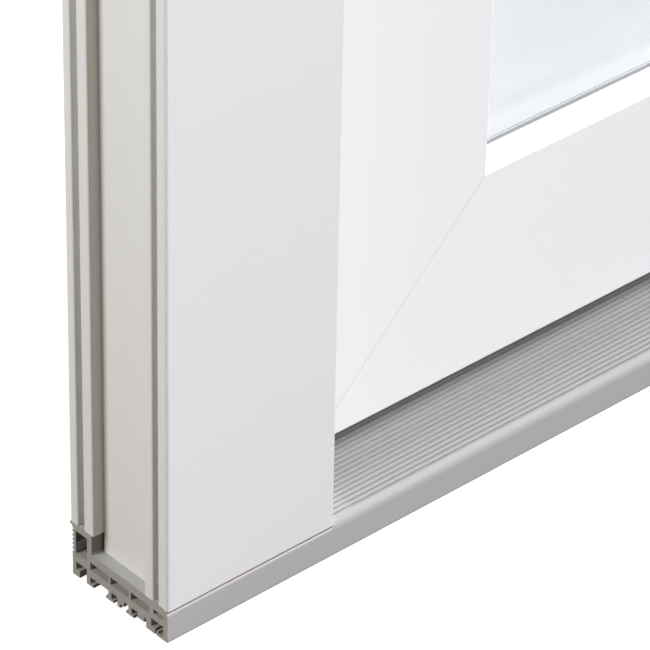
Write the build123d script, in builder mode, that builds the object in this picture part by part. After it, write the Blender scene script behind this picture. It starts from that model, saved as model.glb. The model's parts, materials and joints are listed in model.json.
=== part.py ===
"""White double door with a low ribbed threshold, in millimetres.

X runs along the wall, Y from the outside into the room and Z up.  The origin is on the underside of
the threshold, in the middle of the frame's width and depth.  Both leaves open into the room.
"""
from build123d import *
import os

os.makedirs("parts", exist_ok=True)

# Frame
WIDTH = 1588.0  # over the outer faces of the jambs
HEIGHT = 2088.0  # from the underside of the threshold to the top of the head
DEPTH = 70.0
FRAME_FACE = 101.0  # width of the jamb seen from the outside
WALL = 2.8  # outside wall of every hollow section
WEB = 1.6  # wall between two chambers
LIP_SETBACK = 19.0  # from the outside face to the front of the stop lip
LIP_THICKNESS = 4.0
LIP_OVERLAP = 7.0  # how far the lip covers the leaf
FACE_STEP = 2.0  # the frame's rebate lies this far behind the edge of its face
FACE_RADIUS = 1.5
SIDE_RADIUS = 1.0
SIDE_STRIP_FRONT = 6.8  # bands down the wall side of the jamb, each ending this far from the outside face
SIDE_GROOVE_FRONT = 10.2
SIDE_RIB_FRONT = 16.5
SIDE_PANEL = 53.1
SIDE_RIB_BACK = 60.1
SIDE_GROOVE_BACK = 64.3
SIDE_GROOVE_DEPTH = 6.0
SIDE_PANEL_DEPTH = 6.6
SIDE_DRAIN = 2.2  # the wall inside each side groove stops this far above the threshold

# Threshold deck, raised back and nose
DECK_TOP = 18.5
NOSE_RADIUS = 4.0
NOSE_WALL = 3.0
NOSE_LIP = 7.8  # from the outside face to the back of the small flange under the nose
NOSE_LIP_THICKNESS = 1.4
NOSE_HOOK = 1.2
NOSE_HOOK_TOP = 2.6
BACK_START = 54.5  # front of the raised back, from the outside face
BACK_END = 68.5
BACK_TOP = 30.0
BACK_ROOF = 3.7  # wall over the tall chamber
BACK_FRONT_WALL = 3.3
BACK_WALL = 2.5
BACK_LIP = 1.5  # small lip at the top of the raised back, as high as it is deep
TALL_FLOOR = 13.3
TOOTH_PITCH = 2.5  # small teeth down the back face
TOOTH_DEPTH = 0.8
TOOTH_COUNT = 6
GROOVE_PITCH = 3.15
GROOVE_WIDTH = 1.3
GROOVE_DEPTH = 0.8
JAMB_DROP = 1.7  # the jamb's front wall hangs this far below the deck, over the nose

# Threshold chambers and clip feet
UNDERSIDE = 5.2  # height of the body's underside between the feet
CHAMBER_FLOOR = 9.6
CHAMBER_TOP = 13.9
CHAMBER_BACK = 55.6
CHAMBER_PITCH = 14.7
CHAMBER_WEB = 1.5
NOSE_CHAMBER_BACK = 11.4
NOSE_CHAMBER_FLOOR = 11.3
REAR_CHANNEL_FLOOR = 3.8
REAR_CHANNEL_TOP = 8.2
REAR_CHANNEL_MOUTH = 5.1
BLOCK_FRONT = 11.6  # the front foot, from the outside face
BLOCK_BACK = 15.2
BLOCK_TOE = 2.8
BLOCK_CHAMBER_FLOOR = 3.2
BLOCK_CHAMBER_TOP = 7.8
CLIP_BACKS = (42.6, 28.0)  # backs of the two clip feet, from the outside face
CLIP_LEG = 2.3
CLIP_HOOK = 1.7
CLIP_HOOK_THICKNESS = 1.2
CLIP_TOE = 1.7
CLIP_TOE_THICKNESS = 1.6
CLIP_MOUTH = 2.5
CLIP_STUB = 5.0
CLIP_STUB_RISE = 2.3
PAD = 2.0  # foot under the middle of the depth
REAR_LEG_BACK = 58.3
REAR_LEG = 2.7
REAR_TOE = 2.3
REAR_TOE_THICKNESS = 1.8

# Leaf
LEAF_DEPTH = 70.0
LEAF_FACE = 108.5  # width of a stile or rail seen from the outside
HARDWARE_GAP = 12.0  # between the leaf's edge and the frame, all round
STOP_GAP = 5.0  # between the leaf's face and the stop lip
FLANGE = 20.0  # overlap flange on the room side
FLANGE_THICKNESS = 23.0
GLASS_SETBACK = 14.5
GLASS_BEVEL = 3.5
REBATE_HEIGHT = 18.0
HARDWARE_GROOVE_FRONT = 18.0  # groove for the fittings round the leaf's edge, from the leaf's outside face
HARDWARE_GROOVE_WIDTH = 16.0
HARDWARE_GROOVE_DEPTH = 9.0
SLIT = 5.0  # between the two meeting strips, at the outside
STRIP_FRONT = 6.0
STRIP_BACK = 1.4

# Glazing
PANE = 4.0
CAVITY = 16.0
GASKET = 3.0
GASKET_WIDTH = 6.8
GASKET_PROUD = 1.2
GLASS_BITE = 15.0
SPACER_HEIGHT = 6.0
SPACER_SEALANT = 2.0
BEAD_NOSE = 5.0
BEAD_SLOPE = 7.0

# Seals
SEAL_WIDTH = 4.0
SEAL_GAP = 0.5
SEAL_INSET = 1.5

# Hinges and handle
PIN_RADIUS = 5.0
PIN_CLEARANCE = 0.05
KNUCKLE_RADIUS = 9.0
PIN_OUTBOARD = 12.0  # pin axis to the tip of the flange
PIN_PROUD = 8.0  # pin axis to the room face of the leaf
KNUCKLE_LENGTH = 46.0
KNUCKLE_GAP = 0.4
HINGE_HEIGHTS = (262.0, 1010.0, 1757.0)
HINGE_PLATE = 5.0
HINGE_ARM_SPREAD = 6.0
HINGE_ARM_REACH = 5.0
LEAF_ARM_REACH = 21.0
PLATE_RADIUS = 2.0
FRAME_PLATE_WIDTH = 42.0
LEAF_PLATE_WIDTH = 48.0
HANDLE_HEIGHT = 1050.0
HANDLE_PLATE_HEIGHT = 215.0
HANDLE_PLATE_WIDTH = 32.0
HANDLE_PLATE_THICKNESS = 9.0
HANDLE_PLATE_RADIUS = 6.0
HANDLE_ABOVE = 0.32  # share of the plate above the lever
LEVER_RADIUS = 9.0
LEVER_REACH = 52.0
LEVER_LENGTH = 118.0

NEAR = 0.01  # two points closer than this are the same corner

# Places that follow from those sizes
OUTSIDE = -DEPTH / 2
LIP_BACK = LIP_SETBACK + LIP_THICKNESS
LEAF_FRONT = LIP_BACK + STOP_GAP
LEAF_OUTSIDE = OUTSIDE + LEAF_FRONT
LEAF_ROOM = LEAF_OUTSIDE + LEAF_DEPTH
REBATE = FRAME_FACE - FACE_STEP
LEAF_EDGE = REBATE + HARDWARE_GAP
LIP_TIP = LEAF_EDGE + LIP_OVERLAP
LEAF_BOTTOM = BACK_TOP + HARDWARE_GAP
LEAF_TOP = HEIGHT - LEAF_EDGE
LEFT_SIDE = -WIDTH / 2
LEAF_LEFT = LEFT_SIDE + LEAF_EDGE
LEAF_RIGHT = -SLIT / 2 - STRIP_FRONT
SIGHT = LEAF_FACE + GLASS_BEVEL
REBATE_FLOOR = SIGHT - REBATE_HEIGHT
GLASS_FRONT = GLASS_SETBACK + GASKET
GLASS_BACK = GLASS_FRONT + 2 * PANE + CAVITY
BEAD_FRONT = GLASS_BACK + GASKET
PIN_X = LEAF_LEFT - FLANGE - PIN_OUTBOARD
PIN_Y = LEAF_ROOM + PIN_PROUD


def save(part, name):
    """Label one finished piece and write it."""
    part.label = name
    export_step(part, f"parts/{name}.step")


def near(vertex, points):
    """Whether a corner of a section lies on one of the listed points."""
    return any((vertex.center() - Vector(*point)).length < NEAR for point in points)


def box(low_u, low_v, high_u, high_v, mode=Mode.ADD):
    """A rectangle between two corners, drawn into the sketch that is open."""
    with Locations(((low_u + high_u) / 2, (low_v + high_v) / 2)):
        Rectangle(high_u - low_u, high_v - low_v, mode=mode)


def hollow(outline, rounded, chambers):
    """One closed outline, rounded by the radius of each listed corner, less its chambers."""
    with BuildSketch() as section:
        with BuildLine():
            Polyline(*outline, close=True)
        make_face()
        for radius, points in rounded.items():
            fillet([v for v in section.vertices() if near(v, points)], radius=radius)
        for chamber in chambers:
            box(*chamber, mode=Mode.SUBTRACT)
    return section.sketch


def frame_section():
    """Section of jamb and head: first axis from the wall inwards, second from the outside inwards."""
    outline = [
        (0, 0), (FRAME_FACE, 0), (LIP_TIP - FACE_STEP, LIP_SETBACK), (LIP_TIP, LIP_SETBACK),
        (LIP_TIP, LIP_BACK), (REBATE, LIP_BACK), (REBATE, DEPTH), (0, DEPTH), (0, SIDE_GROOVE_BACK),
        (SIDE_GROOVE_DEPTH, SIDE_GROOVE_BACK), (SIDE_GROOVE_DEPTH, SIDE_RIB_BACK), (0, SIDE_RIB_BACK),
        (0, SIDE_PANEL), (SIDE_PANEL_DEPTH, SIDE_PANEL), (SIDE_PANEL_DEPTH, SIDE_RIB_FRONT),
        (0, SIDE_RIB_FRONT), (0, SIDE_GROOVE_FRONT), (SIDE_GROOVE_DEPTH, SIDE_GROOVE_FRONT),
        (SIDE_GROOVE_DEPTH, SIDE_STRIP_FRONT), (0, SIDE_STRIP_FRONT),
    ]
    bands = [SIDE_STRIP_FRONT, SIDE_GROOVE_FRONT, SIDE_RIB_FRONT, SIDE_PANEL, SIDE_RIB_BACK, SIDE_GROOVE_BACK]
    rounded = {
        FACE_RADIUS: [(0, 0), (FRAME_FACE, 0), (REBATE, DEPTH), (0, DEPTH)],
        SIDE_RADIUS: [(0, band) for band in bands],
    }
    side = SIDE_PANEL_DEPTH + WALL
    inner = REBATE - WALL
    middle = (side + inner) / 2
    panel_middle = (SIDE_RIB_FRONT + SIDE_PANEL) / 2
    chambers = [
        (side, WALL, middle - WEB / 2, SIDE_RIB_FRONT),
        (middle + WEB / 2, WALL, inner, SIDE_RIB_FRONT),
        (side, SIDE_RIB_FRONT + WEB, middle - WEB / 2, panel_middle - WEB / 2),
        (middle + WEB / 2, SIDE_RIB_FRONT + WEB, inner, panel_middle - WEB / 2),
        (side, panel_middle + WEB / 2, inner, SIDE_PANEL - WEB),
        (side, SIDE_PANEL, inner, DEPTH - WALL),
    ]
    return hollow(outline, rounded, chambers)


def leaf_section(flange):
    """Section of a stile or rail: first axis from the leaf's edge inwards, second from its outside face."""
    flange_front = LEAF_DEPTH - FLANGE_THICKNESS
    groove_back = HARDWARE_GROOVE_FRONT + HARDWARE_GROOVE_WIDTH
    edge = [(0, LEAF_DEPTH), (0, 0)]
    edge_back = WALL
    if flange:
        edge = [
            (-flange, LEAF_DEPTH), (-flange, flange_front), (0, flange_front), (0, groove_back),
            (HARDWARE_GROOVE_DEPTH, groove_back), (HARDWARE_GROOVE_DEPTH, HARDWARE_GROOVE_FRONT),
            (0, HARDWARE_GROOVE_FRONT), (0, 0),
        ]
        edge_back = HARDWARE_GROOVE_DEPTH + WALL
    outline = [
        (LEAF_FACE, 0), (SIGHT, GLASS_SETBACK), (REBATE_FLOOR, GLASS_SETBACK), (REBATE_FLOOR, LEAF_DEPTH),
    ] + edge
    rounded = {FACE_RADIUS: [(0, 0), (LEAF_FACE, 0), (-flange, LEAF_DEPTH)]}
    inner = REBATE_FLOOR - WALL
    middle = (edge_back + inner) / 2
    chambers = []
    rows = [
        (WALL, WALL, GLASS_SETBACK), (edge_back, GLASS_SETBACK + WEB, flange_front - WEB),
        (WALL, flange_front + WEB, LEAF_DEPTH - WALL),
    ]
    for outer, front, back in rows:
        chambers.append((outer, front, middle - WEB / 2, back))
        chambers.append((middle + WEB / 2, front, inner, back))
    if flange:
        chambers.append((WALL - flange, flange_front + WALL, WALL - WEB, LEAF_DEPTH - WALL))
    return hollow(outline, rounded, chambers)


def bead_section():
    """Section of a glazing bead, on the same axes as the leaf's section."""
    outline = [
        (REBATE_FLOOR, BEAD_FRONT), (SIGHT, BEAD_FRONT), (SIGHT, BEAD_FRONT + BEAD_NOSE),
        (SIGHT - BEAD_SLOPE, LEAF_DEPTH), (REBATE_FLOOR, LEAF_DEPTH),
    ]
    chambers = [(REBATE_FLOOR + WEB, BEAD_FRONT + WEB, SIGHT - BEAD_SLOPE - WEB, LEAF_DEPTH - WEB)]
    return hollow(outline, {FACE_RADIUS: [(SIGHT - BEAD_SLOPE, LEAF_DEPTH)]}, chambers)


def mitred_bar(section, start, end, before=0.0, after=0.0, cut_start=True, cut_end=True):
    """Draw a section along one side of a rectangle, going clockwise as seen from the outside."""
    start = Vector(*start)
    end = Vector(*end)
    along = (end - start).normalized()
    inward = Vector(0, 1, 0).cross(along)
    with BuildPart() as bar:
        with BuildSketch(Plane(origin=start - along * before, x_dir=inward, z_dir=along)):
            add(section)
        extrude(amount=(end - start).length + before + after)
        if cut_start:
            split(bisect_by=Plane(origin=start, z_dir=along - inward), keep=Keep.TOP)
        if cut_end:
            split(bisect_by=Plane(origin=end, z_dir=-along - inward), keep=Keep.TOP)
    return bar.part


def threshold_outline():
    """Closed outline of the threshold without its feet, grooves and chambers."""
    lip_low = BACK_TOP - BACK_LIP
    lip_back = BACK_END + BACK_LIP
    wall_front = BACK_END - BACK_WALL
    with BuildSketch() as outline:
        with BuildLine():
            Polyline((0, DECK_TOP - NOSE_RADIUS), (0, 0), (NOSE_WALL, 0), (NOSE_WALL, UNDERSIDE))
            Polyline((NOSE_WALL, UNDERSIDE), (wall_front, UNDERSIDE), (wall_front, 0), (BACK_END, 0))
            Polyline((BACK_END, 0), (BACK_END, lip_low), (lip_back, lip_low), (lip_back, BACK_TOP))
            Polyline((lip_back, BACK_TOP), (BACK_START, BACK_TOP), (BACK_START, DECK_TOP))
            Line((BACK_START, DECK_TOP), (NOSE_RADIUS, DECK_TOP))
            RadiusArc((NOSE_RADIUS, DECK_TOP), (0, DECK_TOP - NOSE_RADIUS), -NOSE_RADIUS)
        make_face()
    return outline.sketch


def threshold_section():
    """Full section of the threshold: nose, deck, raised back, chambers and the feet under them."""
    channel_back = BACK_END - BACK_WALL
    with BuildSketch() as section:
        add(threshold_outline())

        # Front foot with its chamber and the hooked flange under the nose
        box(BLOCK_FRONT, 0, BLOCK_BACK, UNDERSIDE)
        box(BLOCK_FRONT - BLOCK_TOE, 0, BLOCK_FRONT, UNDERSIDE)
        box(NOSE_WALL, BLOCK_CHAMBER_FLOOR, BLOCK_FRONT, BLOCK_CHAMBER_TOP, mode=Mode.SUBTRACT)
        box(NOSE_WALL, 0, NOSE_LIP, NOSE_LIP_THICKNESS)
        box(NOSE_LIP - NOSE_HOOK, 0, NOSE_LIP, NOSE_HOOK_TOP)

        # Clip feet: a hooked leg and a shorter stub with a slot between them
        for back in CLIP_BACKS:
            leg_front = back - CLIP_LEG
            stub_back = leg_front - CLIP_TOE - CLIP_MOUTH
            box(leg_front, 0, back, UNDERSIDE)
            box(back, 0, back + CLIP_HOOK, CLIP_HOOK_THICKNESS)
            box(leg_front - CLIP_TOE, 0, leg_front, CLIP_TOE_THICKNESS)
            box(stub_back - CLIP_STUB, CLIP_STUB_RISE, stub_back, UNDERSIDE)
        box(DEPTH / 2 - PAD / 2, 0, DEPTH / 2 + PAD / 2, UNDERSIDE)

        # Rear leg and the channel behind it, open below through a narrow mouth
        box(REAR_LEG_BACK - REAR_LEG, 0, REAR_LEG_BACK, UNDERSIDE)
        box(REAR_LEG_BACK - REAR_LEG - REAR_TOE, 0, REAR_LEG_BACK - REAR_LEG, REAR_TOE_THICKNESS)
        box(REAR_LEG_BACK + REAR_CHANNEL_MOUTH, 0, channel_back, UNDERSIDE)
        box(REAR_LEG_BACK, REAR_CHANNEL_FLOOR, channel_back, REAR_CHANNEL_TOP, mode=Mode.SUBTRACT)

        # Closed chambers
        for place in range(3):
            high = CHAMBER_BACK - CHAMBER_PITCH * place
            box(high - CHAMBER_PITCH + CHAMBER_WEB, CHAMBER_FLOOR, high, CHAMBER_TOP, mode=Mode.SUBTRACT)
        box(NOSE_WALL, NOSE_CHAMBER_FLOOR, NOSE_CHAMBER_BACK - CHAMBER_WEB, CHAMBER_TOP, mode=Mode.SUBTRACT)
        box(BACK_START + BACK_FRONT_WALL, TALL_FLOOR, channel_back, BACK_TOP - BACK_ROOF, mode=Mode.SUBTRACT)

        # Teeth down the back face
        for place in range(TOOTH_COUNT):
            tooth = TALL_FLOOR + TOOTH_PITCH * place
            box(BACK_END - TOOTH_DEPTH, tooth, BACK_END, tooth + TOOTH_PITCH / 2, mode=Mode.SUBTRACT)
    return section.sketch


end_plane = Plane(origin=(LEFT_SIDE, OUTSIDE, 0), x_dir=(0, 1, 0), z_dir=(1, 0, 0))
with BuildPart() as threshold:
    with BuildSketch(end_plane):
        add(threshold_section())
    extrude(amount=WIDTH)
    with BuildSketch(end_plane.offset(REBATE)):
        groove = NOSE_RADIUS + GROOVE_PITCH / 2
        while groove < BACK_START - GROOVE_WIDTH:
            box(groove - GROOVE_WIDTH / 2, DECK_TOP - GROOVE_DEPTH, groove + GROOVE_WIDTH / 2, DECK_TOP)
            groove += GROOVE_PITCH
    extrude(amount=WIDTH - 2 * REBATE, mode=Mode.SUBTRACT)
save(threshold.part, "threshold")

jamb_foot = (LEFT_SIDE, OUTSIDE, DECK_TOP - JAMB_DROP)
jamb_top = (LEFT_SIDE, OUTSIDE, HEIGHT)
with BuildPart() as left_jamb:
    add(mitred_bar(frame_section(), jamb_foot, jamb_top, cut_start=False))
    with BuildSketch(end_plane):
        add(threshold_outline())
        box(SIDE_PANEL, 0, DEPTH, BACK_TOP)
    extrude(amount=LIP_TIP, mode=Mode.SUBTRACT)
    with BuildSketch(end_plane):
        box(SIDE_STRIP_FRONT, DECK_TOP, SIDE_GROOVE_FRONT, DECK_TOP + SIDE_DRAIN)
        box(SIDE_RIB_BACK, BACK_TOP, SIDE_GROOVE_BACK, BACK_TOP + SIDE_DRAIN)
    extrude(amount=SIDE_PANEL_DEPTH + WALL, mode=Mode.SUBTRACT)
save(left_jamb.part, "left_jamb")

with BuildPart() as right_jamb:
    mirror(left_jamb.part, about=Plane.YZ)
save(right_jamb.part, "right_jamb")

head = mitred_bar(frame_section(), jamb_top, (-LEFT_SIDE, OUTSIDE, HEIGHT))
save(head, "head")

seal_inset = LIP_TIP - SEAL_INSET
with BuildPart() as frame_seal:
    with BuildSketch(Plane(origin=(0, OUTSIDE + LIP_BACK, 0), x_dir=(-1, 0, 0), z_dir=(0, 1, 0))):
        outer = WIDTH / 2 - seal_inset + SEAL_WIDTH
        inner = WIDTH / 2 - seal_inset
        box(-outer, DECK_TOP, outer, HEIGHT - seal_inset + SEAL_WIDTH)
        box(-inner, DECK_TOP, inner, HEIGHT - seal_inset, mode=Mode.SUBTRACT)
    extrude(amount=STOP_GAP - SEAL_GAP)
save(frame_seal.part, "frame_seal")


def upright_ring(low_x, high_x, low_z, high_z, width, front, thickness, open_side=False):
    """A flat ring parallel to the door's face, closed or open at its high x side."""
    with BuildPart() as ring:
        with BuildSketch(Plane(origin=(0, front, 0), x_dir=(-1, 0, 0), z_dir=(0, 1, 0))):
            box(-high_x, low_z, -low_x, high_z)
            inner_high = high_x if open_side else high_x - width
            box(-inner_high, low_z + width, -low_x - width, high_z - width, mode=Mode.SUBTRACT)
        extrude(amount=thickness)
    return ring.part


def upright_plate(low_x, high_x, low_z, high_z, front, thickness, radius=0.0):
    """A flat plate standing parallel to the door's face."""
    with BuildPart() as plate:
        with BuildSketch(Plane(origin=(0, front, 0), x_dir=(-1, 0, 0), z_dir=(0, 1, 0))):
            with Locations((-(low_x + high_x) / 2, (low_z + high_z) / 2)):
                if radius:
                    RectangleRounded(high_x - low_x, high_z - low_z, radius)
                else:
                    Rectangle(high_x - low_x, high_z - low_z)
        extrude(amount=thickness)
    return plate.part


def leaf_bars():
    """Four mitred hollow bars of the left leaf."""
    y = LEAF_OUTSIDE
    bottom_left = (LEAF_LEFT, y, LEAF_BOTTOM)
    top_left = (LEAF_LEFT, y, LEAF_TOP)
    top_right = (LEAF_RIGHT, y, LEAF_TOP)
    bottom_right = (LEAF_RIGHT, y, LEAF_BOTTOM)
    flanged = leaf_section(FLANGE)
    plain = leaf_section(0.0)
    return {
        "hinge_stile": mitred_bar(flanged, bottom_left, top_left, before=FLANGE, after=FLANGE),
        "top_rail": mitred_bar(flanged, top_left, top_right, before=FLANGE),
        "meeting_stile": mitred_bar(plain, top_right, bottom_right),
        "bottom_rail": mitred_bar(flanged, bottom_right, bottom_left, after=FLANGE),
    }


def leaf_beads():
    """Four mitred glazing beads on the room side of the glass."""
    y = LEAF_OUTSIDE
    bottom_left = (LEAF_LEFT, y, LEAF_BOTTOM)
    top_left = (LEAF_LEFT, y, LEAF_TOP)
    top_right = (LEAF_RIGHT, y, LEAF_TOP)
    bottom_right = (LEAF_RIGHT, y, LEAF_BOTTOM)
    section = bead_section()
    return {
        "hinge_bead": mitred_bar(section, bottom_left, top_left),
        "top_bead": mitred_bar(section, top_left, top_right),
        "meeting_bead": mitred_bar(section, top_right, bottom_right),
        "bottom_bead": mitred_bar(section, bottom_right, bottom_left),
    }


def inside_leaf(inset):
    """Low x, high x, low z and high z of a rectangle set in from the leaf's edges."""
    return LEAF_LEFT + inset, LEAF_RIGHT - inset, LEAF_BOTTOM + inset, LEAF_TOP - inset


def leaf_glazing():
    """Two panes, the spacer between them and the gaskets on both sides."""
    edge = SIGHT - GLASS_BITE
    gasket_foot = SIGHT + GASKET_PROUD - GASKET_WIDTH
    y = LEAF_OUTSIDE
    return {
        "outer_pane": upright_plate(*inside_leaf(edge), y + GLASS_FRONT, PANE),
        "inner_pane": upright_plate(*inside_leaf(edge), y + GLASS_BACK - PANE, PANE),
        "spacer": upright_ring(
            *inside_leaf(edge + SPACER_SEALANT), SPACER_HEIGHT, y + GLASS_FRONT + PANE, CAVITY
        ),
        "outer_gasket": upright_ring(*inside_leaf(gasket_foot), GASKET_WIDTH, y + GLASS_SETBACK, GASKET),
        "inner_gasket": upright_ring(*inside_leaf(gasket_foot), GASKET_WIDTH, y + GLASS_BACK, GASKET),
    }


def leaf_seal():
    """Seal on the front of the flange, up the hinge side and along top and bottom."""
    inset = -FLANGE + SEAL_INSET
    low_x, _, low_z, high_z = inside_leaf(inset)
    seal_back = LEAF_OUTSIDE + LEAF_DEPTH - FLANGE_THICKNESS
    thickness = STOP_GAP - SEAL_GAP
    front = seal_back - thickness
    return upright_ring(low_x, LEAF_RIGHT, low_z, high_z, SEAL_WIDTH, front, thickness, open_side=True)


def meeting_strip():
    """Tapered strip on the edge of the meeting stile, thinner towards the room to clear the other leaf."""
    with BuildPart() as strip:
        with BuildSketch(Plane.XY.offset(LEAF_BOTTOM)):
            with BuildLine():
                Polyline(
                    (LEAF_RIGHT, LEAF_OUTSIDE), (LEAF_RIGHT + STRIP_FRONT, LEAF_OUTSIDE),
                    (LEAF_RIGHT + STRIP_BACK, LEAF_ROOM), (LEAF_RIGHT, LEAF_ROOM), close=True,
                )
            make_face()
        extrude(amount=LEAF_TOP - LEAF_BOTTOM)
    return strip.part


def hinge_knuckles(levels, arm_section, bore):
    """Barrels about the pin axis at the given (low, high) levels, each joined to its arm and bored."""
    with BuildPart() as knuckles:
        for low, high in levels:
            with BuildSketch(Plane.XY.offset(low)):
                with Locations((PIN_X, PIN_Y)):
                    Circle(KNUCKLE_RADIUS)
                add(arm_section)
                with Locations((PIN_X, PIN_Y)):
                    Circle(bore, mode=Mode.SUBTRACT)
            extrude(amount=high - low)
    return knuckles.part


def frame_hinges():
    """Frame halves: a plate on the room face of the jamb and the lower knuckle on its arm."""
    room_face = OUTSIDE + DEPTH
    arm_face = room_face + HINGE_PLATE / 2
    plate_right = PIN_X + HINGE_ARM_REACH
    with BuildSketch() as arm:
        with BuildLine():
            Polyline(
                (PIN_X - KNUCKLE_RADIUS, PIN_Y), (PIN_X - KNUCKLE_RADIUS - HINGE_ARM_SPREAD, arm_face),
                (plate_right, arm_face), (plate_right, PIN_Y), close=True,
            )
        make_face()
    with BuildPart() as hinges:
        for height in HINGE_HEIGHTS:
            low = height - KNUCKLE_LENGTH - KNUCKLE_GAP / 2
            high = height - KNUCKLE_GAP / 2
            add(hinge_knuckles([(low, high)], arm.sketch, PIN_RADIUS + PIN_CLEARANCE))
            add(upright_plate(
                plate_right - FRAME_PLATE_WIDTH, plate_right, low, high + KNUCKLE_LENGTH,
                room_face, HINGE_PLATE, PLATE_RADIUS,
            ))
    return hinges.part


def leaf_hinges():
    """Leaf halves: a plate on the room face of the hinge stile and the upper knuckle on its arm."""
    arm_back = LEAF_ROOM + HINGE_PLATE
    with BuildSketch() as arm:
        with BuildLine():
            Polyline(
                (PIN_X, PIN_Y + KNUCKLE_RADIUS), (PIN_X + LEAF_ARM_REACH, arm_back),
                (PIN_X + LEAF_ARM_REACH, LEAF_ROOM), (PIN_X + PIN_OUTBOARD, LEAF_ROOM),
                (PIN_X, PIN_Y - PIN_RADIUS), close=True,
            )
        make_face()
    plate_left = PIN_X + PIN_OUTBOARD + HINGE_ARM_SPREAD
    plate_right = plate_left + LEAF_PLATE_WIDTH
    with BuildPart() as hinges:
        for height in HINGE_HEIGHTS:
            low = height + KNUCKLE_GAP / 2
            high = height + KNUCKLE_LENGTH + KNUCKLE_GAP / 2
            add(hinge_knuckles([(low, high)], arm.sketch, PIN_RADIUS + PIN_CLEARANCE))
            add(upright_plate(
                plate_left, plate_right, low - KNUCKLE_LENGTH, high, LEAF_ROOM, HINGE_PLATE, PLATE_RADIUS
            ))
    return hinges.part


def hinge_pins():
    """One pin through both knuckles of each hinge."""
    half = KNUCKLE_LENGTH + KNUCKLE_GAP / 2
    with BuildPart() as pins:
        for height in HINGE_HEIGHTS:
            with BuildSketch(Plane.XY.offset(height - half)):
                with Locations((PIN_X, PIN_Y)):
                    Circle(PIN_RADIUS)
            extrude(amount=2 * half)
    return pins.part


pieces = {}
pieces.update(leaf_bars())
pieces.update(leaf_beads())
pieces.update(leaf_glazing())
pieces["leaf_seal"] = leaf_seal()
pieces["meeting_strip"] = meeting_strip()
pieces["leaf_hinges"] = leaf_hinges()
pieces["frame_hinges"] = frame_hinges()
pieces["hinge_pins"] = hinge_pins()

for name, left_piece in pieces.items():
    save(left_piece, f"left_{name}")
    with BuildPart() as right_piece:
        mirror(left_piece, about=Plane.YZ)
    save(right_piece.part, f"right_{name}")

stile_middle = SLIT / 2 + STRIP_FRONT + LEAF_FACE / 2
plate_top = HANDLE_HEIGHT + HANDLE_ABOVE * HANDLE_PLATE_HEIGHT
handle_plate = upright_plate(
    stile_middle - HANDLE_PLATE_WIDTH / 2, stile_middle + HANDLE_PLATE_WIDTH / 2,
    plate_top - HANDLE_PLATE_HEIGHT, plate_top,
    LEAF_ROOM, HANDLE_PLATE_THICKNESS, HANDLE_PLATE_RADIUS,
)
save(handle_plate, "handle_plate")

plate_face = LEAF_ROOM + HANDLE_PLATE_THICKNESS
bend = 2.0 * LEVER_RADIUS
lever_root = (stile_middle, plate_face, HANDLE_HEIGHT)
with BuildPart() as lever_handle:
    with BuildLine() as lever_line:
        FilletPolyline(
            lever_root,
            (stile_middle, plate_face + LEVER_REACH, HANDLE_HEIGHT),
            (stile_middle + LEVER_LENGTH, plate_face + LEVER_REACH, HANDLE_HEIGHT),
            radius=bend,
        )
    with BuildSketch(Plane(origin=lever_root, x_dir=(1, 0, 0), z_dir=(0, 1, 0))):
        Circle(LEVER_RADIUS)
    sweep()
save(lever_handle.part, "lever_handle")
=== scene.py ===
# %% [markdown]
# A white double door with a ribbed grey threshold, dressed for a studio picture.
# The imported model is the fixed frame: every hollow bar, pane, seal and hinge half is already there at its
# real size, in metres, with Z up, X along the wall and +Y from the outside into the room. This lesson
# gives those pieces their finishes and adds what is too small for the solid model: hinge screws, pin caps,
# a collar at the lever, caps over the handle's fixing screws and a lock cylinder.

# %% Load the fixed frame
import json
import math

import bmesh
import bpy
from mathutils import Matrix, Vector


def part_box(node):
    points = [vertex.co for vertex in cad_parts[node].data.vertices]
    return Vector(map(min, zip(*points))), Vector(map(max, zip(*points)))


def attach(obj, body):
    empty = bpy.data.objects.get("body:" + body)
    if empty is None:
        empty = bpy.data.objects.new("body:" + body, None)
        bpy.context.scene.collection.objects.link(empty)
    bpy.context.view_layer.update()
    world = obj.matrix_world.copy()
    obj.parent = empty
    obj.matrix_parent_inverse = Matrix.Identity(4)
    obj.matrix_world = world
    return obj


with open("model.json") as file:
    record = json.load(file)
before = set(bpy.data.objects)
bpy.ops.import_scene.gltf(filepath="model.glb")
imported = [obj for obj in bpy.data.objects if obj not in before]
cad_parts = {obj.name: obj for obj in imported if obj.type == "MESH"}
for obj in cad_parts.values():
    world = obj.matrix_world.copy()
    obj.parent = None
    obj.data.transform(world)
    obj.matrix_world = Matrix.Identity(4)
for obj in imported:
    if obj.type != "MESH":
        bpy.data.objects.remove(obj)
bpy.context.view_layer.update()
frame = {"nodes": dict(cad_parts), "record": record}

nodes = frame["nodes"]


# %% [markdown]
# On a real door everything is measured from a few edges: where the frame ends, where a leaf begins and how
# far back its faces lie. Those lengths could be typed in again, but reading them from the solids keeps every
# pattern and screw on its real edge when a size changes. The door is the same on both sides of x = 0, so
# the edges of its left half are enough.

# %% Edges read from the solids
MM = 0.001


def low(node):
    """Lowest corner of a solid piece."""
    return Vector(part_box(node)[0])


def high(node):
    """Highest corner of a solid piece."""
    return Vector(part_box(node)[1])


frame_left = low("left_jamb").x
frame_top = high("head").z
jamb_foot = low("left_jamb").z
outside = low("left_jamb").y
room = high("left_jamb").y
leaf_low = low("left_meeting_stile")
leaf_high = high("left_meeting_stile")
flange_tip = low("left_hinge_stile")
leaf_left = flange_tip.x + (leaf_low.z - flange_tip.z)
print("frame from x =", round(frame_left, 4), "to", round(-frame_left, 4), "and up to z =", round(frame_top, 4))
print("left leaf from x =", round(leaf_left, 4), "to", round(leaf_high.x, 4), "and z =", round(leaf_low.z, 4))


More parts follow.
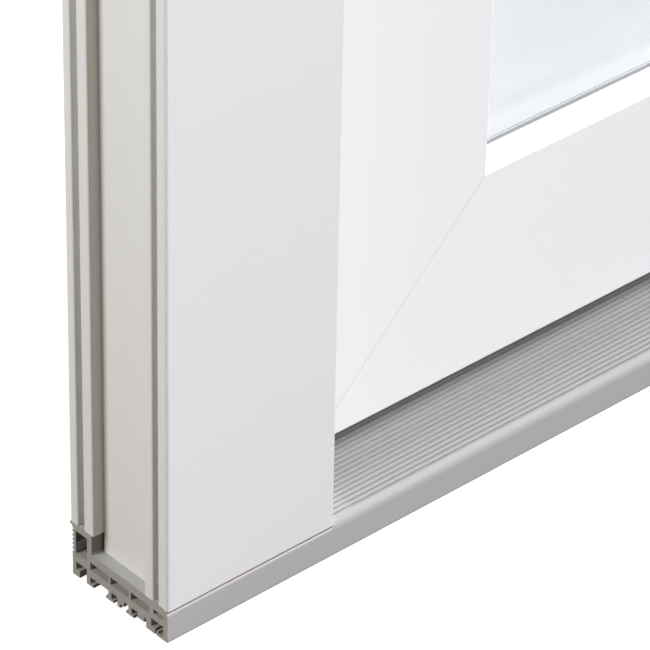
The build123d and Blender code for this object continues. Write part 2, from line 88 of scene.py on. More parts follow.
# %% [markdown]
# A finish is a sum of small effects, such as grain, a weld line and dust in a corner. It could be wired up
# node by node, but sums read best as sums. Wire stands for one output socket of a shader node: adding or
# multiplying two wires makes the Math node that does it, and node() makes any other kind.

# %% Shader maths as plain expressions
class Wire:
    """One output socket of a shader node, with operators that add Math nodes."""

    def __init__(self, tree, socket=None):
        self.tree = tree
        self.socket = socket

    def node(self, kind, settings=None, sockets=None, output=0):
        """Make a node: its settings first, then the values or wires of its sockets."""
        made = self.tree.nodes.new(kind)
        for name, value in (settings or {}).items():
            setattr(made, name, value)
        for name, value in (sockets or {}).items():
            if isinstance(value, Wire):
                self.tree.links.new(value.socket, made.inputs[name])
            else:
                made.inputs[name].default_value = value
        return Wire(self.tree, made.outputs[output])

    def maths(self, operation, *terms):
        return self.node("ShaderNodeMath", {"operation": operation}, dict(enumerate(terms)))

    def __add__(self, other):
        return self.maths("ADD", self, other)

    __radd__ = __add__

    def __sub__(self, other):
        return self.maths("SUBTRACT", self, other)

    def __rsub__(self, other):
        return self.maths("SUBTRACT", other, self)

    def __mul__(self, other):
        return self.maths("MULTIPLY", self, other)

    __rmul__ = __mul__

    def __truediv__(self, other):
        return self.maths("DIVIDE", self, other)

    def __abs__(self):
        return self.maths("ABSOLUTE", self)

    def __gt__(self, other):
        return self.maths("GREATER_THAN", self, other)

    def least(self, other):
        return self.maths("MINIMUM", self, other)

    def most(self, other):
        return self.maths("MAXIMUM", self, other)

    def wave(self, length):
        """Cosine of this wire, one at zero and again after each length."""
        return self.maths("COSINE", self * (math.tau / length))

    def near_zero(self, width):
        """One where the value is zero, falling to nothing at width on both sides."""
        return (1.0 - abs(self) / width).most(0.0)

    def axes(self):
        """The three parts of a place or direction."""
        parts = self.node("ShaderNodeSeparateXYZ", sockets={0: self}).socket.node.outputs
        return [Wire(self.tree, part) for part in parts]

    def noise(self, scale, detail=2.0):
        """Noise about zero with this many grains per metre along each axis."""
        place = self.node("ShaderNodeVectorMath", {"operation": "MULTIPLY"}, {0: self, 1: scale})
        return place.node("ShaderNodeTexNoise", sockets={"Vector": place, "Scale": 1.0, "Detail": detail}) - 0.5

    def blend(self, first, second):
        """Colour that goes from first to second as this wire goes from zero to one."""
        return self.node("ShaderNodeMix", {"data_type": "RGBA"}, {0: self, 6: first, 7: second}, output=2)


print("shader maths ready")


# %% [markdown]
# Every finish starts alike: a material, its one shader, and the place on the piece in the frame's metres.
# Object coordinates give that place, because no piece is moved or scaled. Grain and draw lines could come
# from pictures wrapped round the bars, but noise made from the place needs no unwrapping and never repeats.

# %% Starting a finish
def new_finish(name):
    """A new material; gives the material, the place on the piece and the shader."""
    material = bpy.data.materials.new(name)
    material.use_nodes = True
    tree = material.node_tree
    shader = next(n for n in tree.nodes if n.type == "BSDF_PRINCIPLED")
    place = Wire(tree).node("ShaderNodeTexCoord", output="Object")
    return material, place, shader


def set_plain(shader, **values):
    """Write constants straight on the shader's own sockets."""
    for name, value in values.items():
        shader.inputs[name.replace("_", " ")].default_value = value


def connect(shader, **wires):
    """Lead wires into the shader's sockets."""
    for name, wire in wires.items():
        wire.tree.links.new(wire.socket, shader.inputs[name.replace("_", " ")])


def bumped(height):
    """Surface normal for a height in metres."""
    return height.node("ShaderNodeBump", sockets={"Strength": 1.0, "Distance": 1.0, "Height": height})


print("finish helpers ready")


# %% [markdown]
# The white bars are extruded plastic, so their faint draw lines follow the bar: up the stiles and jambs,
# along the rails. Mitred corners are welded, which leaves a hairline. It could be a thin strip laid on each
# corner, but a strip needs moving with every size. Here it is drawn where the distance to the nearer side
# equals the distance to the nearer end, which finds all four corners of a leaf at once. Three things vary
# the white, all painted light and shade: painted shade makes the lowest part greyer, the sides that face the
# wall are painted warmer and paler as painted light, and the back wall of their recess is darkened to beige
# as painted shade. A brown line of painted shade marks the joint between the jamb and the threshold.

# %% White plastic
FRAME_WHITE = (0.81, 0.81, 0.818, 1.0)
LEAF_WHITE = (0.85, 0.85, 0.858, 1.0)
FOOT_SHADE_WHITE = (0.72, 0.715, 0.725, 1.0)
SIDE_LIT_WHITE = (0.84, 0.835, 0.82, 1.0)
SIDE_FOOT_SHADE = (0.64, 0.625, 0.60, 1.0)
RECESS_SHADE_BEIGE = (0.60, 0.58, 0.51, 1.0)
WELD_WHITE = (0.52, 0.52, 0.54, 1.0)
JOINT_SHADE_BROWN = (0.20, 0.17, 0.15, 1.0)
# painted shade: the white greys towards the floor, fading out at this height
FOOT_SHADE_HEIGHT = 0.40          # the greyer foot fades out at this height
SIDE_DEPTH = 14.0 * MM      # the wall side and its grooves, from the frame's edge
RECESS_WALL = 53.1 * MM     # back wall of the recess, from the outside face
FACE_SKIN = 0.3 * MM        # tells a face from what lies behind it
WELD_WIDTH = 0.4 * MM
WELD_DEPTH = 0.03 * MM
JOINT_SHADE_WIDTH = 1.1 * MM
ACROSS, LENGTHWISE = 700.0, 2.0     # grains of the draw lines per metre
WAVES = 9.0                         # slow swells of the surface per metre
LINE_HEIGHT = 0.0003 * MM
WAVE_HEIGHT = 0.02 * MM


def white_plastic(name, along, sides, ends, colour, foot_shade_colour):
    """White extruded plastic for bars that run along one axis and are welded inside sides and ends."""
    material, place, shader = new_finish(name)
    x, y, z = place.axes()
    lines = place.noise((ACROSS, ACROSS, LENGTHWISE) if along == "Z" else (LENGTHWISE, ACROSS, ACROSS))
    waves = place.noise((WAVES, WAVES, WAVES), detail=1.0)
    to_side = (x - sides[0]).least(sides[1] - x)
    to_end = (z - ends[0]).least(ends[1] - z)
    weld = (to_side - to_end).near_zero(WELD_WIDTH)
    # painted shade, greyer towards the floor
    foot = (1.0 - z / FOOT_SHADE_HEIGHT).most(0.0)
    side = (abs(x) > -frame_left - SIDE_DEPTH) * (y > outside + FACE_SKIN)
    # painted shade: the back wall of the recess is darkened to beige
    recess = (y - outside - RECESS_WALL).near_zero(FACE_SKIN) * side
    # painted shade: a brown line along the jamb's foot where it meets the threshold
    joint = (2.0 * (z - jamb_foot).near_zero(JOINT_SHADE_WIDTH)).least(1.0)
    # the wall side takes a warmer, paler white as painted light, with its own painted shade at the foot
    surface = side.blend(foot.blend(colour, foot_shade_colour), foot.blend(SIDE_LIT_WHITE, SIDE_FOOT_SHADE))
    surface = weld.blend(recess.blend(surface, RECESS_SHADE_BEIGE), WELD_WHITE)
    connect(
        shader,
        Base_Color=joint.blend(surface, JOINT_SHADE_BROWN),
        Roughness=0.32 + 0.08 * waves + 0.03 * lines,
        Normal=bumped(LINE_HEIGHT * lines + WAVE_HEIGHT * waves - WELD_DEPTH * weld),
    )
    return material


print("white plastic ready")

# %% White finishes for the frame and the leaves
BELOW_EVERYTHING = -9.0     # the frame has no rail at its foot, so no weld is drawn there
frame_sides = (frame_left, -frame_left)
frame_ends = (BELOW_EVERYTHING, frame_top)
leaf_sides = {"left": (leaf_left, leaf_high.x), "right": (-leaf_high.x, -leaf_left)}
leaf_ends = (leaf_low.z, leaf_high.z)

white = {}
for along in ("X", "Z"):
    name = "white_frame_along_" + along.lower()
    white["frame", along] = white_plastic(name, along, frame_sides, frame_ends, FRAME_WHITE, FOOT_SHADE_WHITE)
    for side in ("left", "right"):
        name = "white_" + side + "_leaf_along_" + along.lower()
        white[side, along] = white_plastic(name, along, leaf_sides[side], leaf_ends, LEAF_WHITE, LEAF_WHITE)
print("white finishes:", len(white))


# %% [markdown]
# The threshold is a grey composite bar, drawn through a die, with a fine grain and draw lines along its
# length. One flat grey would do from afar, but the rounded nose is painted darker than the front below it,
# painted shade that tones down the highlight its curve catches, and the deck is the palest. The height of
# a point tells the three apart, so one ramp up the nose blends them.

# %% Threshold: front, nose and deck
FRONT_GREY = (0.41, 0.40, 0.403, 1.0)
NOSE_SHADE_GREY = (0.33, 0.326, 0.328, 1.0)
DECK_GREY = (0.43, 0.434, 0.438, 1.0)
NOSE_HEIGHT = 3.5 * MM
GRAIN = 2600.0              # grains per metre
DRAW_LINES = (6.0, 1500.0, 1500.0)
deck_top = low("frame_seal").z
threshold_finish, place, shader = new_finish("threshold_grey_finish")
x, y, z = place.axes()
grain = place.noise((GRAIN, GRAIN, GRAIN), detail=3.0)
draw = place.noise(DRAW_LINES)
above_front = ((z - deck_top + NOSE_HEIGHT) / NOSE_HEIGHT).most(0.0).least(1.0)
on_deck = (above_front * 4.0 - 3.0).most(0.0)
# painted shade on the rounded nose
grey = on_deck.blend((above_front * 1.6).least(1.0).blend(FRONT_GREY, NOSE_SHADE_GREY), DECK_GREY)
print("deck top at z =", round(deck_top, 4))


# %% [markdown]
# The deck has cut grooves, and between two of them the surface swells into a soft ridge for a safe step.
# The grooves are in the solid. The swelling is only a fifth of a millimetre high, so it could be left out,
# but without it the deck looks flat. A cosine across the deck, in step with the grooves, gives both the
# swelling, as bump, and painted shade that darkens the deck beside each groove.

# %% Threshold: ridges of the deck
VALLEY_SHADE_GREY = (0.23, 0.234, 0.238, 1.0)
RIDGE_PITCH = 3.15 * MM
FIRST_GROOVE = 5.575 * MM   # middle of the first groove, from the outside face
RIDGE_HEIGHT = 0.22 * MM
GROOVE_DEPTH = 2.0 * MM
clear_half = -high("left_jamb").x
between_jambs = clear_half - abs(x) > 0.0
ridged = ((z > deck_top - GROOVE_DEPTH) * (y > outside + FIRST_GROOVE - RIDGE_PITCH / 2)) * between_jambs
valley = (y - outside - FIRST_GROOVE).wave(RIDGE_PITCH)
deep = 0.5 * valley + 0.5
# painted shade in and beside each groove
grey = (ridged * deep * deep * deep).blend(grey, VALLEY_SHADE_GREY)
print("ridges up to x =", round(clear_half, 4))


# %% [markdown]
# Three soft bands are painted along the edges of the bar. A pale glint, a painted highlight, runs along the
# front just below the jamb's foot, a painted shadow darkens the deck where the leaf hangs over it, and the
# front grows darker towards its lowest edge. Each could be a painted picture; here each is a soft band
# measured from its own edge.

# %% Threshold: painted glint, painted leaf shadow and a darker lower edge
GLINT_HIGHLIGHT_GREY = (0.60, 0.59, 0.59, 1.0)
SHADOW_AND_EDGE_BROWN = (0.15, 0.135, 0.128, 1.0)
JAMB_FACE = 101.0 * MM      # width of the jamb seen from the outside
GLINT_WIDTH = 0.9 * MM
LEAF_SHADOW_START = 46.3 * MM      # from the outside face
LEAF_SHADOW_LENGTH = 3.5 * MM
LOWER_EDGE = 1.1 * MM
DARKENING_AMOUNT = 0.55
under_jamb = abs(x) > -frame_left - JAMB_FACE
# painted highlight: a pale line on the front just below the jamb's foot
glint = (z - jamb_foot + GLINT_WIDTH).near_zero(GLINT_WIDTH) * under_jamb
grey = glint.blend(grey, GLINT_HIGHLIGHT_GREY)
# painted shadow on the deck where the leaf hangs over it
leaf_shadow = ((y - outside - LEAF_SHADOW_START) / LEAF_SHADOW_LENGTH).most(0.0).least(1.0) * ridged
lower_edge = (z / LOWER_EDGE).least(1.0)
# the brown is painted shadow on the deck and a darker band at the front's lowest edge
grey = (DARKENING_AMOUNT * (leaf_shadow + 1.0 - lower_edge)).blend(grey, SHADOW_AND_EDGE_BROWN)
print("glint at z =", round(jamb_foot - GLINT_WIDTH, 4))


# %% [markdown]
# Seen from its sawn end the bar is hollow. Its chambers are browner than the skin and darkened with painted
# shade, the raised back most of all, but for the bit of its front wall that shows below the jamb. They
# could be separate shells with a colour of their own. They are part of one solid, so depth behind the skin
# picks them out.

# %% Threshold: chambers
CHAMBER_BROWN_AND_SHADE = (0.34, 0.313, 0.29, 1.0)
INNER_SHADE_BROWN = (0.13, 0.115, 0.102, 1.0)
BACK_SHADE_BROWN = (0.217, 0.18, 0.14, 1.0)
SKIN = 2.5 * MM             # thickness of the skin at the front and the back
BACK_MIDDLE = 56.0 * MM     # within the front wall of the raised back, from the outside face
DECK_SKIN = 1.0 * MM
TOP_SKIN = 0.8 * MM
back_top = high("threshold").z
off_deck = (abs(z - deck_top) > DECK_SKIN) * (back_top - z > TOP_SKIN)
inner = off_deck * (y > outside + SKIN) * (room - y > SKIN)
back_wall = (outside + BACK_MIDDLE - y > 0.0) * under_jamb
# painted shade: the raised back's chamber is darkest, its front wall below the jamb a little lighter
back = back_wall.blend(INNER_SHADE_BROWN, BACK_SHADE_BROWN)
# the chambers' brown is partly painted shade
grey = inner.blend(grey, (z > deck_top).blend(CHAMBER_BROWN_AND_SHADE, back))
print("raised back up to z =", round(back_top, 4))


# %% [markdown]
# Both ends are saw cuts: browner, rougher, blotched, and crossed by the slanting marks of the blade. The
# marks could be modelled as scratches, but they are finer than a hair. Noise that changes along one slanting
# direction only is enough, led into the bump on the cut faces and nowhere else.

# %% Threshold: sawn ends
CUT_BROWN = (0.33, 0.305, 0.282, 1.0)
CUT_DARK = (0.25, 0.232, 0.215, 1.0)
CUT_DEPTH = 0.2 * MM
BLADE_SLANT = 0.35
BLADE_MARKS = 2400.0        # per metre
BLOTCHES = 350.0            # per metre
GRAIN_HEIGHT = 0.004 * MM
DRAW_HEIGHT = 0.002 * MM
MARK_HEIGHT = 0.03 * MM
cut = abs(x) > -frame_left - CUT_DEPTH
blade = y * BLADE_SLANT + z
marks = blade.node("ShaderNodeTexNoise", {"noise_dimensions": "1D"}, {"W": blade * BLADE_MARKS, "Scale": 1.0})
blotch = place.noise((BLOTCHES, BLOTCHES, BLOTCHES), detail=2.0)
sawn = (0.5 + 1.2 * grain + 1.1 * blotch).least(1.0).most(0.0).blend(CUT_DARK, CUT_BROWN)
relief = GRAIN_HEIGHT * grain + DRAW_HEIGHT * draw + MARK_HEIGHT * (marks * cut)
connect(
    shader,
    Base_Color=cut.blend(grey, sawn),
    Roughness=0.55 + 0.12 * grain + 0.08 * draw + 0.2 * cut,
    Normal=bumped(relief - (0.5 * RIDGE_HEIGHT) * (valley * ridged)),
)
print("threshold finish ready")


# %% [markdown]
# The panes are clear glass with a trace of blue. In a white studio they mirror white walls, so they look
# like a pale veil. White walls round the whole door would also flood it with light. So half of the pane is
# a pale diffuse veil instead, and half is glass. The light of the suns would be lost in the panes, so rays
# of light pass straight through and reach the spacer and the beads behind. A small helper tells which kind
# of ray is asking.

# %% Glass
GLASS_VEIL = 0.5


def ray_kinds(tree, *kinds):
    """One for any of the named kinds of ray, zero for the others."""
    path = Wire(tree).node("ShaderNodeLightPath").socket.node
    wires = [Wire(tree, path.outputs[kind]) for kind in kinds]
    total = wires[0]
    for wire in wires[1:]:
        total = total.most(wire)
    return total


glass, place, shader = new_finish("glass_finish")
set_plain(shader, Base_Color=(0.985, 0.995, 1.0, 1), Roughness=0.0, IOR=1.45, Transmission_Weight=1.0)
tree = glass.node_tree
clear = Wire(tree, shader.outputs[0])
veil = clear.node("ShaderNodeBsdfDiffuse", sockets={"Color": (0.80, 0.815, 0.83, 1)})
pane = clear.node("ShaderNodeMixShader", sockets={0: GLASS_VEIL, 1: clear, 2: veil})
sheer = clear.node("ShaderNodeBsdfTransparent", sockets={"Color": (0.95, 0.965, 0.97, 1)})
for_light = ray_kinds(tree, "Is Shadow Ray", "Is Diffuse Ray")
mixed = clear.node("ShaderNodeMixShader", sockets={0: for_light, 1: pane, 2: sheer})
tree.links.new(mixed.socket, tree.nodes["Material Output"].inputs["Surface"])
print("glass ready")


# %% [markdown]
# A white spacer bar keeps the two panes apart, and a rubber gasket seals them on each side. The outer gasket
# shows three lips towards the pane: dark, a white line, and thin grey, where the dark is painted shade and the
# white line a painted highlight. The lips could each be a ring of their own, but they stand barely a
# millimetre proud, so their depth behind the face picks their colour. The seals round the leaf and the frame
# are plain black rubber, dulled by a fine grain.

# %% Spacer, gaskets and seals
RUBBER_GRAIN = (3000.0, 3000.0, 3000.0)
INNER_GASKET = (0.68, 0.70, 0.72, 1)
LIP_SHADE_DARK = (0.30, 0.31, 0.335, 1)
LIP_SHADE_AND_HIGHLIGHT = (                    # depth in millimetres at which a lip starts, and its colour
    (1.3, (0.84, 0.85, 0.86, 1)),
    (1.9, (0.30, 0.31, 0.33, 1)),
    (2.6, (0.74, 0.75, 0.78, 1)),
)
spacer_finish, place, shader = new_finish("spacer_finish")
set_plain(shader, Base_Color=(0.72, 0.735, 0.75, 1), Roughness=0.45)

gasket_finish, place, shader = new_finish("gasket_finish")
grain = place.noise(RUBBER_GRAIN)
x, y, z = place.axes()
gasket_low, gasket_high = low("left_outer_gasket"), high("left_outer_gasket")
behind_panes = y > gasket_high.y + 1.0 * MM
depth = (y - gasket_low.y) / MM
# painted shade and a painted highlight in bands by depth
lip = LIP_SHADE_DARK
for start, colour in LIP_SHADE_AND_HIGHLIGHT:
    lip = (depth > start).blend(lip, colour)
connect(
    shader,
    Base_Color=behind_panes.blend(lip, INNER_GASKET),
    Roughness=0.5 + 0.2 * grain,
    Normal=bumped(GRAIN_HEIGHT * grain),
)

seal_finish, place, shader = new_finish("seal_finish")
grain = place.noise(RUBBER_GRAIN)
set_plain(shader, Base_Color=(0.035, 0.035, 0.037, 1))
connect(shader, Roughness=0.55 + 0.2 * grain, Normal=bumped(GRAIN_HEIGHT * grain))
print("spacer, gaskets and seals ready")


# %% [markdown]
# Pins, screws and the lock are bare metal, brushed along their length, while hinges and handle are painted
# white with the fine peel of powder paint. Both are the same thing to a shader, a noise stretched to suit,
# so one function makes all five from a colour, a roughness and the grains per metre along each axis.

# %% Metal and painted metal
def brushed(name, colour, roughness, metallic, scale):
    """Metal or painted metal with a finely marked surface."""
    material, place, shader = new_finish(name)
    marks = place.noise(scale)
    set_plain(shader, Base_Color=colour, Metallic=metallic)
    connect(shader, Roughness=roughness + 0.12 * marks, Normal=bumped(0.003 * MM * marks))
    return material


pin_finish = brushed("pin_finish", (0.62, 0.62, 0.63, 1), 0.28, 1.0, (60.0, 60.0, 4000.0))
hinge_finish = brushed("hinge_finish", (0.80, 0.80, 0.80, 1), 0.32, 0.0, (900.0, 900.0, 900.0))
handle_finish = brushed("handle_finish", (0.81, 0.81, 0.81, 1), 0.26, 0.0, (900.0, 900.0, 900.0))
screw_finish = brushed("screw_finish", (0.55, 0.55, 0.56, 1), 0.35, 1.0, (1500.0, 1500.0, 1500.0))
cylinder_finish = brushed("cylinder_finish", (0.60, 0.58, 0.52, 1), 0.30, 1.0, (2000.0, 2000.0, 60.0))
print("metal finishes ready")


# %% [markdown]
# Each solid piece already carries the name of what it is made of. Finishes could be handed out piece by
# piece, but that list would be long and would miss a new piece. Going by the material's name covers every
# piece, and only the white bars need a second look, at which way they run and which leaf they are welded to.

# %% Give every solid piece its finish
plain_finishes = {
    "threshold_grey": threshold_finish,
    "glass": glass,
    "spacer_white": spacer_finish,
    "gasket_grey": gasket_finish,
    "seal_black": seal_finish,
    "pin_steel": pin_finish,
    "hinge_white": hinge_finish,
    "handle_metal": handle_finish,
}
LYING = ("head", "rail", "top_bead", "bottom_bead")
slots = {entry["node"]: entry["material_slot"] for entry in frame["record"]["subparts"]}
for name, piece in nodes.items():
    finish = plain_finishes.get(slots[name])
    if finish is None:
        along = "X" if any(word in name for word in LYING) else "Z"
        group = "frame" if name in ("head", "left_jamb", "right_jamb") else name.split("_")[0]
        finish = white[group, along]
    for slot in piece.material_slots:
        slot.material = finish
print("finishes given to", len(nodes), "solid pieces")


# %% [markdown]
# Now the small parts. Each is one mesh that stays at the frame's own origin, so that it can ride a body and
# swing with a leaf, and a matrix puts every shape in its place inside it. Many little objects, each set down
# where it belongs, would be easier to move by hand but harder to keep on the right leaf.

# %% Making a small part
OUT_OF_ROOM_FACE = Matrix.Rotation(math.radians(-90.0), 4, "X")
SHARP = math.radians(35.0)


def finish_piece(name, shape, body, finish):
    """Turn a finished shape into an object that rides a body."""
    mesh = bpy.data.meshes.new(name)
    shape.to_mesh(mesh)
    shape.free()
    mesh.shade_smooth()
    mesh.set_sharp_from_angle(angle=SHARP)
    mesh.materials.append(finish)
    piece = bpy.data.objects.new(name, mesh)
    bpy.context.collection.objects.link(piece)
    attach(piece, body)
    print(name, "faces:", len(mesh.polygons))


def join(target, shape, place):
    """Put a shape in its place and move its faces into the target shape."""
    bmesh.ops.transform(shape, matrix=place, verts=shape.verts)
    bmesh.ops.recalc_face_normals(shape, faces=shape.faces)
    passing = bpy.data.meshes.new("passing")
    shape.to_mesh(passing)
    shape.free()
    target.from_mesh(passing)
    bpy.data.meshes.remove(passing)


print("small parts can be made")


# %% [markdown]
# Screw heads, caps, the collar and the key plug are all turned parts: short discs with a rounded rim. They
# could be spun from a profile. A plain cylinder whose outer rim is bevelled gives the same shape in two
# steps, and the bevel's width is the rounding itself.

# %% A disc with a rounded rim
HAIR = 0.01 * MM            # two heights closer than this are the same


def rounded_rim(shape, height, edge, segments):
    """Bevel the edges that lie at one height."""
    rim = [e for e in shape.edges if all(abs(v.co.z - height) < HAIR for v in e.verts)]
    bmesh.ops.bevel(
        shape, geom=rim, offset=edge, offset_type="OFFSET", segments=segments, profile=0.5,
        affect="EDGES", material=-1,
    )


def disc(radius, height, edge, segments=3):
    """A disc with a rounded rim on its outer side, sunk as deep below zero as it stands above."""
    shape = bmesh.new()
    bmesh.ops.create_cone(
        shape, cap_ends=True, segments=32, radius1=radius, radius2=radius, depth=2.0 * height
    )
    rounded_rim(shape, height, edge, segments)
    return shape


print("disc ready")


# %% [markdown]
# A screw head has a cross in it and a lock has a keyway. Either could be a dark picture on a flat disc, but
# a recess should catch the light, so it is cut: planes divide the top of the disc, and the faces inside the
# outline are extruded downwards. The outline is a few boxes, and two crossed boxes make the cross.

# %% Sinking a recess
def raised_verts(extruded):
    """The new vertices among what an extrusion returned."""
    return [part for part in extruded["geom"] if isinstance(part, bmesh.types.BMVert)]


def sink(shape, boxes, height, depth):
    """Cut a recess into the top: its outline is made of boxes (middle x, middle y, half width, half length)."""
    for middle_x, middle_y, wide, tall in boxes:
        for axis, middle, half in (((1, 0, 0), middle_x, wide), ((0, 1, 0), middle_y, tall)):
            for place in (middle - half, middle + half):
                everything = shape.verts[:] + shape.edges[:] + shape.faces[:]
                bmesh.ops.bisect_plane(shape, geom=everything, plane_co=Vector(axis) * place, plane_no=axis)
    sunk = []
    for face in shape.faces:
        x, y, z = face.calc_center_median()
        in_box = any(abs(x - mx) < wide and abs(y - my) < tall for mx, my, wide, tall in boxes)
        if in_box and z > height - HAIR:
            sunk.append(face)
    lowered = raised_verts(bmesh.ops.extrude_face_region(shape, geom=sunk))
    bmesh.ops.translate(shape, verts=lowered, vec=(0, 0, -depth))


print("recess ready")


# %% [markdown]
# Every hinge plate is held by a row of three cross-head screws. One screw could be copied in the same
# position everywhere, but nobody stops a screw at the same angle twice, so each is turned a little further
# than the last. All screws of a body are one piece, because they never move apart.

# %% Hinge screws
SCREW_RADIUS = 4.3 * MM
SCREW_PROUD = 0.5 * MM
SCREW_EDGE = 0.3 * MM
SCREW_SPACING = 30.0 * MM
TURN_STEP = 37.0            # degrees from one screw to the next
CROSS_DEPTH = 0.9 * MM
ARM, SLIM = 2.4 * MM, 0.55 * MM
CROSS = [(0, 0, ARM, SLIM), (0, 0, SLIM, ARM)]
KNUCKLE_HALF = 46.2 * MM    # from the middle of a hinge to its ends
PLATE_OUT = 5.0 * MM        # how far a hinge plate's face stands off its bar
lowest = low("left_frame_hinges").z + KNUCKLE_HALF
highest = high("left_leaf_hinges").z - KNUCKLE_HALF
hinge_heights = (lowest, (lowest + highest) / 2, highest)
frame_plate = low("left_frame_hinges").x + 13.0 * MM      # middle of the plate on the jamb
leaf_plate = high("left_leaf_hinges").x - 16.0 * MM       # middle of the plate on the stile
frame_plate_face = room + PLATE_OUT
leaf_plate_face = leaf_high.y + PLATE_OUT


def screw_rows(name, body, across, face, turn):
    """Three screws at each hinge, in a column at each of the given places across."""
    shape = bmesh.new()
    for middle in hinge_heights:
        for x in across:
            for step in (-1, 0, 1):
                turn += TURN_STEP
                spin = Matrix.Rotation(math.radians(turn), 4, "Z")
                spot = Matrix.Translation((x, face, middle + step * SCREW_SPACING))
                head = disc(SCREW_RADIUS, SCREW_PROUD, SCREW_EDGE)
                sink(head, CROSS, SCREW_PROUD, CROSS_DEPTH)
                join(shape, head, spot @ OUT_OF_ROOM_FACE @ spin)
    finish_piece(name, shape, body, screw_finish)


screw_rows("frame_hinge_screws", "frame", (frame_plate, -frame_plate), frame_plate_face, 11.0)
screw_rows("left_leaf_hinge_screws", "left_leaf", (leaf_plate,), leaf_plate_face, 23.0)
screw_rows("right_leaf_hinge_screws", "right_leaf", (-leaf_plate,), leaf_plate_face, 5.0)


# %% [markdown]
# The two halves of a lift-off hinge end in a domed cap, one above on the leaf and one below on the frame.
# They hide the pin and keep the rain out of it. A half sphere would stand too high; a low disc with a wide
# rounding, in five steps, is the flat dome of the real cap.

# %% Hinge caps
HINGE_CAP = (7.6 * MM, 3.0 * MM, 1.8 * MM)      # radius, height, rounding
pin_middle = (low("left_hinge_pins") + high("left_hinge_pins")) / 2
downwards = Matrix.Rotation(math.pi, 4, "X")
for side, x in (("left", pin_middle.x), ("right", -pin_middle.x)):
    above, below = bmesh.new(), bmesh.new()
    for middle in hinge_heights:
        top = Matrix.Translation((x, pin_middle.y, middle + KNUCKLE_HALF))
        foot = Matrix.Translation((x, pin_middle.y, middle - KNUCKLE_HALF)) @ downwards
        join(above, disc(*HINGE_CAP, segments=5), top)
        join(below, disc(*HINGE_CAP, segments=5), foot)
    finish_piece(side + "_upper_caps", above, side + "_leaf", hinge_finish)
    finish_piece(side + "_lower_caps", below, "frame", hinge_finish)


# %% [markdown]
# The handle plate carries a collar where the lever comes out and a cap over each of its two fixing screws.
# They could be part of the plate, but in reality they are snapped on, and the fine shadow at their foot
# shows it. So they are discs of their own that stand on the plate's face.

# %% Collar and caps on the handle plate
COLLAR = (13.5 * MM, 2.5 * MM, 1.0 * MM)        # radius, height, rounding
SCREW_CAP = (5.2 * MM, 0.9 * MM, 0.5 * MM)      # the same
CAP_INSET = 13.0 * MM                           # from the end of the plate
plate_low, plate_high = low("handle_plate"), high("handle_plate")
plate_x = (plate_low.x + plate_high.x) / 2
lever_height = (low("lever_handle").z + high("lever_handle").z) / 2


def on_plate(height, out=0.0):
    """Where something sits on the handle plate, its local Z pointing into the room."""
    return Matrix.Translation((plate_x, plate_high.y + out, height)) @ OUT_OF_ROOM_FACE


collar = bmesh.new()
join(collar, disc(*COLLAR), on_plate(lever_height))
finish_piece("lever_collar", collar, "right_leaf", handle_finish)

caps = bmesh.new()
for height in (plate_low.z + CAP_INSET, plate_high.z - CAP_INSET):
    join(caps, disc(*SCREW_CAP), on_plate(height))
finish_piece("handle_screw_caps", caps, "right_leaf", handle_finish)


# %% [markdown]
# The key goes into a profile cylinder below the lever: a round barrel with a straight tail under it, and in
# the barrel a plug that turns, a little proud, with a bent keyway. The outline could be drawn as a list of
# points. Instead a circle is made, the lower part of its rim is drawn out into the tail, and the flat shape
# is raised. The plug is one more disc, with the keyway sunk into it.

# %% Lock cylinder
KEY_BELOW = 92.0 * MM       # from the lever down to the key
ROUND, TAIL, LONG, STAND = 8.5 * MM, 5.0 * MM, 16.0 * MM, 2.6 * MM
PLUG = (6.3 * MM, 0.8 * MM, 0.25 * MM)          # radius, height, rounding
KEYWAY = [(0, 0, 0.6 * MM, 4.2 * MM), (0.5 * MM, 2.4 * MM, 1.1 * MM, 1.5 * MM)]
KEYWAY_DEPTH = 1.4 * MM
key_height = lever_height - KEY_BELOW
body = bmesh.new()
bmesh.ops.create_circle(body, cap_ends=True, segments=40, radius=ROUND)
lower_arc = [e for e in body.edges if all(v.co.y > 0 and abs(v.co.x) < TAIL for v in e.verts)]
tail = raised_verts(bmesh.ops.extrude_edge_only(body, edges=lower_arc))
bmesh.ops.translate(body, verts=tail, vec=(0, LONG, 0))
front = raised_verts(bmesh.ops.extrude_face_region(body, geom=body.faces[:]))
bmesh.ops.translate(body, verts=front, vec=(0, 0, STAND))
cylinder = bmesh.new()
join(cylinder, body, on_plate(key_height))
plug = disc(*PLUG)
sink(plug, KEYWAY, PLUG[1], KEYWAY_DEPTH)
join(cylinder, plug, on_plate(key_height, STAND))
finish_piece("lock_cylinder", cylinder, "right_leaf", cylinder_finish)


# %% [markdown]
# The studio floor is a sheet of white paper. Real white paper throws so much light back that the hollows of
# the door fill up, and it would need strong lamps to look white. This paper is dark to the light and glows
# for the camera and through glass alone, so it reads as white, keeps a soft shadow and lifts nothing.

# %% Floor
FLOOR_GLOW = 0.90
FLOOR_SIZE = 40             # metres
bpy.ops.mesh.primitive_plane_add(size=FLOOR_SIZE)
floor = bpy.context.object
floor.name = "floor"
paper, place, shader = new_finish("floor_paper")
set_plain(shader, Base_Color=(0.16, 0.16, 0.16, 1), Roughness=0.95)
tree = paper.node_tree
dull = Wire(tree, shader.outputs[0])
glow = dull.node("ShaderNodeEmission", sockets={"Color": (1, 1, 1, 1), "Strength": FLOOR_GLOW})
lit = dull.node("ShaderNodeAddShader", sockets={0: dull, 1: glow})
seen_white = ray_kinds(tree, "Is Camera Ray", "Is Transmission Ray")
shown = dull.node("ShaderNodeMixShader", sockets={0: seen_white, 1: dull, 2: lit})
tree.links.new(shown.socket, tree.nodes["Material Output"].inputs["Surface"])
floor.data.materials.append(paper)
print("floor ready")


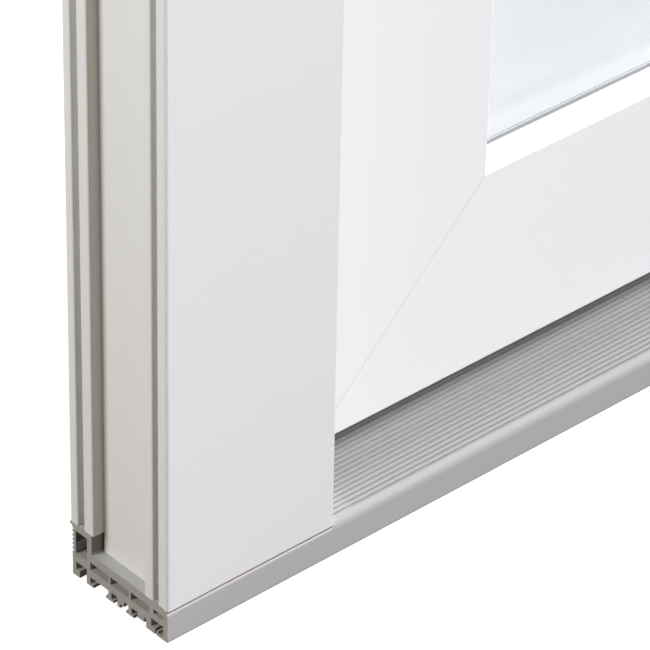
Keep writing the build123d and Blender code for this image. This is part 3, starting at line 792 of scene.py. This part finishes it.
# %% [markdown]
# Beyond the floor the studio is white all round. A white world at full strength would light the door from
# every side and wash its shapes out. So only the camera, mirrors and glass see it at full strength, and the
# surfaces of the door feel a tenth of it, enough to keep the shadows from going black.

# %% World
AMBIENT = 0.10
world = bpy.data.worlds.new("studio")
bpy.context.scene.world = world
world.use_nodes = True
tree = world.node_tree
seen = Wire(tree, tree.nodes["Background"].outputs[0])
tree.nodes["Background"].inputs["Color"].default_value = (1, 1, 1, 1)
felt = seen.node("ShaderNodeBackground", sockets={"Color": (1, 1, 1, 1), "Strength": AMBIENT})
seen_white = ray_kinds(tree, "Is Camera Ray", "Is Glossy Ray", "Is Transmission Ray")
shown = seen.node("ShaderNodeMixShader", sockets={0: seen_white, 1: felt, 2: seen})
tree.links.new(shown.socket, tree.nodes["World Output"].inputs["Surface"])
print("world ready")


# %% [markdown]
# Three broad lamps light the door. The front one stands to the right and above, so the grooves on the wall
# side of the jamb stay dark where they face outwards. The left one is warmer and looks into the sawn end of
# the threshold, and the last, low one lights the room side. Area lamps would fall off along a door two
# metres high. Suns are even everywhere, and a wide angle gives them the soft shadows of a large lamp.

# %% Suns
def sun(name, towards, strength, spread, colour):
    """A broad sun that shines from the given direction."""
    light = bpy.data.lights.new(name, "SUN")
    light.energy = strength
    light.angle = math.radians(spread)
    light.color = colour
    holder = bpy.data.objects.new(name, light)
    holder.rotation_euler = Vector(towards).to_track_quat("Z", "Y").to_euler()
    bpy.context.collection.objects.link(holder)


sun("front_sun", (0.48, -0.72, 0.84), 4.25, 32.0, (0.99, 0.98, 1.0))
sun("left_sun", (-0.85, 0.30, 0.60), 2.8, 30.0, (1.0, 0.985, 0.955))
sun("room_sun", (0.35, 0.93, 0.12), 1.95, 30.0, (1.0, 1.0, 1.0))
print("suns ready")


# %% [markdown]
# The picture is a close view of the lower left corner, taken with a long lens from outside, above and to
# the left. The camera could be aimed at the corner with a constraint. Its place, turn, tilt and roll are
# numbers here, because they were fitted together until the edges of the door lay where the picture has them.

# %% Camera
CAMERA_PLACE = (-1.846, -1.2921, 1.3253)
CAMERA_TURN = 42.34         # degrees from straight at the door towards its right
CAMERA_DOWN = 34.97         # degrees below level
CAMERA_ROLL = 1.22          # degrees
LENS = 254.0                # millimetres
SENSOR = 36.0               # millimetres
camera_data = bpy.data.cameras.new("camera")
camera_data.lens = LENS
camera_data.sensor_width = SENSOR
camera = bpy.data.objects.new("camera", camera_data)
bpy.context.collection.objects.link(camera)
turn = math.radians(CAMERA_TURN)
down = math.radians(CAMERA_DOWN)
forward = Vector((math.sin(turn) * math.cos(down), math.cos(turn) * math.cos(down), -math.sin(down)))
aim = forward.to_track_quat("-Z", "Y").to_matrix().to_4x4()
roll = Matrix.Rotation(math.radians(CAMERA_ROLL), 4, "Z")
camera.matrix_world = Matrix.Translation(CAMERA_PLACE) @ aim @ roll
bpy.context.scene.camera = camera
bpy.context.scene.view_settings.view_transform = "Standard"
print("camera looks along", [round(part, 3) for part in forward])
